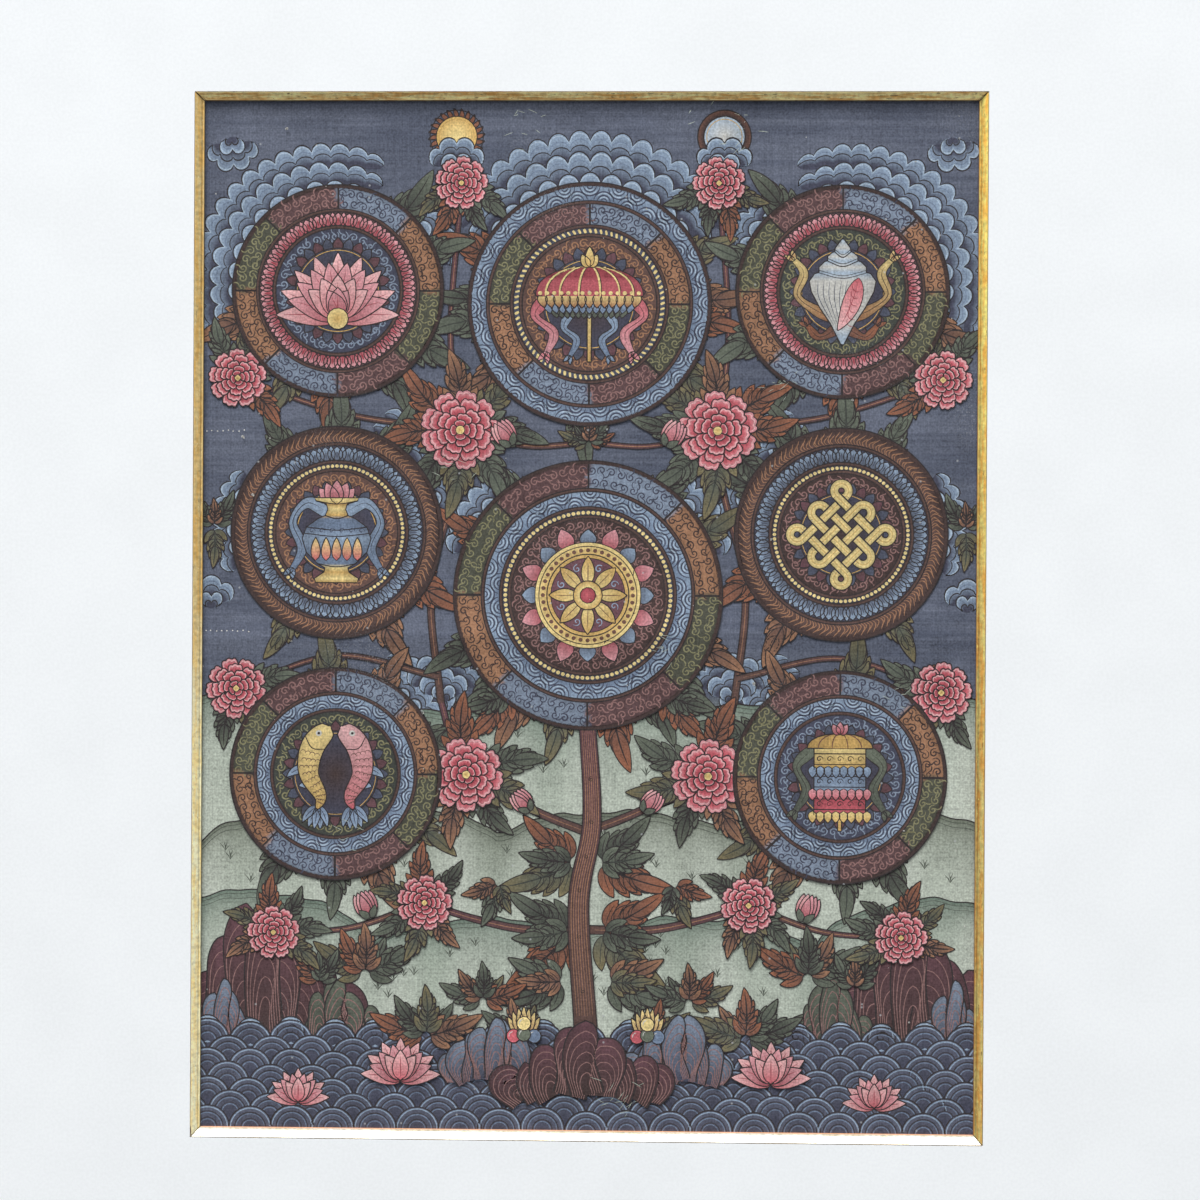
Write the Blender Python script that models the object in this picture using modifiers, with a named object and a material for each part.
"""Painted cotton thangka in a window mount, lying on its back.

The pieces are the painted cloth, four mitred lengths of gilt slip, the window mat and the backing board.
All sizes are in metres. +X is the picture's right, +Y its top and +Z points out of its face. The origin is
the middle of the backing board's underside, the flat face that the mount rests on.
"""

import math
from dataclasses import dataclass

import bmesh
import bpy
from mathutils import Matrix, Vector

# The sight is the part of the cloth that shows inside the slips.
SIGHT_W = 0.300
SIGHT_H = 0.400

# Pieces that bear on each other keep this much room.
GAP = 0.0003

MOUNT_W = 0.500
MOUNT_H = 0.600

BOARD_T = 0.003

CLOTH_T = 0.001
CLOTH_MARGIN = 0.040
CLOTH_COLUMNS = 20
CLOTH_ROWS = 30

# The cloth's old fold lines, measured from the middle of the sight, and how far each part of it rises.
MAIN_FOLD_Y = -0.008
UPPER_FOLD_Y = 0.072
MAIN_FOLD_RISE = 0.00055
UPPER_FOLD_RISE = 0.00020
FOLD_REACH = 0.024
BELLY_RISE = 0.00035
WAVE_RISE = 0.00012
RIM_EASE = 0.030

# Width of each slip's visible face, sight edge to mat.
SLIP_FACE_TOP = 0.0029
SLIP_FACE_BOTTOM = 0.0037
SLIP_FACE_LEFT = 0.0038
SLIP_FACE_RIGHT = 0.0037
SLIP_LIP_H = 0.0010
SLIP_LIP_W = 0.0009
SLIP_STEP_H = 0.0002
SLIP_H = 0.0030
SLIP_ARRIS = 0.0003
MITRE_GAP = 0.0003

MAT_T = 0.003
# The photo shows the mat's face running right up to the slips, so its cut is all but square.
MAT_CUT_LEAN = 0.0001
CUTTER_OVERRUN = 0.002

# Heights of the layers, each resting on the one below.
CLOTH_BACK_Z = BOARD_T + GAP
CLOTH_FACE_Z = CLOTH_BACK_Z + CLOTH_T
MAT_BACK_Z = CLOTH_FACE_Z + GAP
SLIP_BACK_Z = CLOTH_FACE_Z + GAP


@dataclass(frozen=True)
class Finish:
    """Plain colour and gloss of one piece."""

    name: str
    color: tuple
    roughness: float
    metallic: float = 0.0

    def material(self):
        mat = bpy.data.materials.new(self.name)
        mat.use_nodes = True
        shader = mat.node_tree.nodes["Principled BSDF"]
        shader.inputs["Base Color"].default_value = (*self.color, 1.0)
        shader.inputs["Roughness"].default_value = self.roughness
        shader.inputs["Metallic"].default_value = self.metallic
        return mat


@dataclass(frozen=True)
class SlipSide:
    """One length of slip: the way it faces, its face width and those of the slips it meets."""

    name: str
    turn: float
    length: float
    offset: float
    face: float
    face_ahead: float
    face_behind: float


SLIP_SIDES = (
    SlipSide("slip_top", 0, SIGHT_W, SIGHT_H / 2, SLIP_FACE_TOP, SLIP_FACE_RIGHT, SLIP_FACE_LEFT),
    SlipSide("slip_left", 90, SIGHT_H, SIGHT_W / 2, SLIP_FACE_LEFT, SLIP_FACE_TOP, SLIP_FACE_BOTTOM),
    SlipSide("slip_bottom", 180, SIGHT_W, SIGHT_H / 2, SLIP_FACE_BOTTOM, SLIP_FACE_LEFT, SLIP_FACE_RIGHT),
    SlipSide("slip_right", 270, SIGHT_H, SIGHT_W / 2, SLIP_FACE_RIGHT, SLIP_FACE_BOTTOM, SLIP_FACE_TOP),
)

PAINTED_COTTON = Finish("painted_cotton", (0.17, 0.17, 0.18), 0.85)
GILT_WOOD = Finish("gilt_wood", (0.72, 0.50, 0.18), 0.38, 0.8)
MAT_BOARD = Finish("mat_board", (0.88, 0.91, 0.92), 0.9)
GREY_BOARD = Finish("grey_board", (0.42, 0.38, 0.32), 0.92)


def clear_scene():
    """Remove every object that is there at the start."""
    for old in list(bpy.data.objects):
        bpy.data.objects.remove(old, do_unlink=True)


def new_collection(name):
    made = bpy.data.collections.new(name)
    bpy.context.scene.collection.children.link(made)
    return made


def new_object(name, bm, collection, finish=None):
    """Turn a bmesh into a named object in a collection."""
    mesh = bpy.data.meshes.new(name)
    bm.to_mesh(mesh)
    bm.free()
    made = bpy.data.objects.new(name, mesh)
    if finish is not None:
        mesh.materials.append(finish.material())
    collection.objects.link(made)
    return made


def box_bmesh(size_x, size_y, size_z):
    """A box centred in X and Y, with its underside at z = 0."""
    bm = bmesh.new()
    place = Matrix.Translation((0, 0, size_z / 2)) @ Matrix.Diagonal((size_x, size_y, size_z, 1))
    bmesh.ops.create_cube(bm, size=1.0, matrix=place)
    return bm


def ease(value):
    """Smooth step from 0 to 1 as the value goes from 0 to 1."""
    t = min(max(value, 0.0), 1.0)
    return t * t * (3 - 2 * t)


def fold_ridge(distance, reach):
    """Rounded ridge of height 1 on the fold line, falling to 0 at the reach."""
    return 1 - ease(abs(distance) / reach)


def cloth_rise(x, y):
    """How far the cloth stands above its flat rim: old folds, a slight belly and slack waves."""
    inward = min(SIGHT_W / 2 - abs(x), SIGHT_H / 2 - abs(y))
    held = ease(inward / RIM_EASE)
    main_line = MAIN_FOLD_Y + 0.0012 * math.sin(x / 0.055 + 0.8)
    main = MAIN_FOLD_RISE * fold_ridge(y - main_line, FOLD_REACH)
    upper = UPPER_FOLD_RISE * fold_ridge(y - UPPER_FOLD_Y, FOLD_REACH * 0.7)
    belly = BELLY_RISE * (0.7 + 0.3 * math.cos(math.pi * x / SIGHT_W))
    waves = math.sin(x / 0.031 + y / 0.070) + math.sin(y / 0.043 - x / 0.120 + 1.1)
    return held * (belly + main + upper + WAVE_RISE * waves)


def stations(half, margin, steps, extra=()):
    """Grid lines across the sheet: the rim, even steps over the sight, and any extra lines."""
    even = [-half + 2 * half * i / steps for i in range(steps + 1)]
    return sorted([-half - margin, half + margin, *even, *extra])


def fold_lines():
    """Extra grid rows that give each fold its crest and its shoulders."""
    rows = []
    for crest in (MAIN_FOLD_Y, UPPER_FOLD_Y):
        rows += [crest - FOLD_REACH * 0.35, crest, crest + FOLD_REACH * 0.35]
    return rows


def build_cloth(collection):
    """The painted cotton sheet, held flat at its rim and a little raised over its old folds."""
    columns = stations(SIGHT_W / 2, CLOTH_MARGIN, CLOTH_COLUMNS)
    rows = stations(SIGHT_H / 2, CLOTH_MARGIN, CLOTH_ROWS, fold_lines())
    bm = bmesh.new()
    last_column, last_row = len(columns) - 1, len(rows) - 1
    place = Matrix.Translation((last_column / 2, last_row / 2, 0)) @ Matrix.Diagonal(
        (last_column, last_row, 1, 1)
    )
    bmesh.ops.create_grid(bm, x_segments=last_column, y_segments=last_row, size=0.5, matrix=place)
    for vert in bm.verts:
        x, y = columns[round(vert.co.x)], rows[round(vert.co.y)]
        vert.co = Vector((x, y, cloth_rise(x, y)))
    cloth = new_object("thangka_cloth", bm, collection, PAINTED_COTTON)
    cloth.location.z = CLOTH_FACE_Z
    cloth.data.shade_smooth()
    thickness = cloth.modifiers.new("thickness", "SOLIDIFY")
    thickness.thickness = CLOTH_T
    thickness.offset = -1
    return cloth


def slip_profile(face):
    """Section of the slip as (outward, up) points: low lip at the sight edge, then a slope up to the mat."""
    return (
        (0.0, 0.0),
        (face, 0.0),
        (face, SLIP_H),
        (face - SLIP_ARRIS, SLIP_H),
        (SLIP_LIP_W, SLIP_LIP_H + SLIP_STEP_H),
        (SLIP_LIP_W, SLIP_LIP_H),
        (0.0, SLIP_LIP_H),
    )


def cut_mitre(bm, sight_corner, outer_corner, inside):
    """Cut the bar through two corners, half the mitre gap back from them, and close the cut."""
    along = (outer_corner - sight_corner).normalized()
    across = along.cross(Vector((0, 0, 1)))
    if across.dot(inside - sight_corner) > 0:
        across = -across
    bmesh.ops.bisect_plane(
        bm,
        geom=[*bm.verts, *bm.edges, *bm.faces],
        dist=1e-7,
        plane_co=sight_corner - across * (MITRE_GAP / 2),
        plane_no=across,
        clear_outer=True,
    )
    bmesh.ops.holes_fill(bm, edges=[edge for edge in bm.edges if edge.is_boundary])


def build_slip(side, collection):
    """One mitred length of slip. In its own frame it runs along X and its mat side faces +Y."""
    overlong = side.length / 2 + 4 * side.face
    bm = bmesh.new()
    section = [bm.verts.new((-overlong, out, up)) for out, up in slip_profile(side.face)]
    end = bm.faces.new(section)
    swept = bmesh.ops.extrude_face_region(bm, geom=[end], use_keep_orig=True)
    far = [item for item in swept["geom"] if isinstance(item, bmesh.types.BMVert)]
    bmesh.ops.translate(bm, verts=far, vec=(2 * overlong, 0, 0))
    middle = Vector((0, 0, 0))
    for toward, neighbour in ((1, side.face_ahead), (-1, side.face_behind)):
        sight_corner = Vector((toward * side.length / 2, 0, 0))
        outer_corner = Vector((toward * (side.length / 2 + neighbour), side.face, 0))
        cut_mitre(bm, sight_corner, outer_corner, middle)
    bmesh.ops.recalc_face_normals(bm, faces=bm.faces)
    slip = new_object(side.name, bm, collection, GILT_WOOD)
    turn = math.radians(side.turn)
    slip.rotation_euler.z = turn
    slip.location = Matrix.Rotation(turn, 3, "Z") @ Vector((0, side.offset, SLIP_BACK_Z))
    return slip


def window_cutter(collection):
    """Slightly tapered block that cuts the mat's window, wider towards the face."""
    left = SIGHT_W / 2 + SLIP_FACE_LEFT + GAP
    right = SIGHT_W / 2 + SLIP_FACE_RIGHT + GAP
    top = SIGHT_H / 2 + SLIP_FACE_TOP + GAP
    bottom = SIGHT_H / 2 + SLIP_FACE_BOTTOM + GAP
    bm = box_bmesh(left + right, top + bottom, MAT_T + 2 * CUTTER_OVERRUN)
    middle = Vector(((right - left) / 2, (top - bottom) / 2, -CUTTER_OVERRUN))
    bmesh.ops.translate(bm, verts=bm.verts, vec=middle)
    for vert in bm.verts:
        lean = MAT_CUT_LEAN * vert.co.z / MAT_T
        vert.co.x += math.copysign(lean, vert.co.x)
        vert.co.y += math.copysign(lean, vert.co.y)
    cutter = new_object("window_cutter", bm, collection)
    cutter.location.z = MAT_BACK_Z
    cutter.hide_render = True
    cutter.display_type = "WIRE"
    return cutter


def build_mat(collection, cutters):
    """The window mat: one board with its window cut through."""
    board = new_object("window_mat", box_bmesh(MOUNT_W, MOUNT_H, MAT_T), collection, MAT_BOARD)
    board.location.z = MAT_BACK_Z
    cut = board.modifiers.new("window", "BOOLEAN")
    cut.operation = "DIFFERENCE"
    cut.solver = "EXACT"
    cut.object = window_cutter(cutters)
    return board


def build_backing(collection):
    """The backing board, whose underside the mount rests on."""
    return new_object("backing_board", box_bmesh(MOUNT_W, MOUNT_H, BOARD_T), collection, GREY_BOARD)


def main():
    clear_scene()
    parts = new_collection("thangka_in_window_mount")
    cutters = new_collection("cutters")
    mount = bpy.data.objects.new("mount_origin", None)
    parts.objects.link(mount)
    pieces = [build_backing(parts), build_cloth(parts), build_mat(parts, cutters)]
    pieces += [build_slip(side, parts) for side in SLIP_SIDES]
    for piece in pieces:
        piece.parent = mount


main()
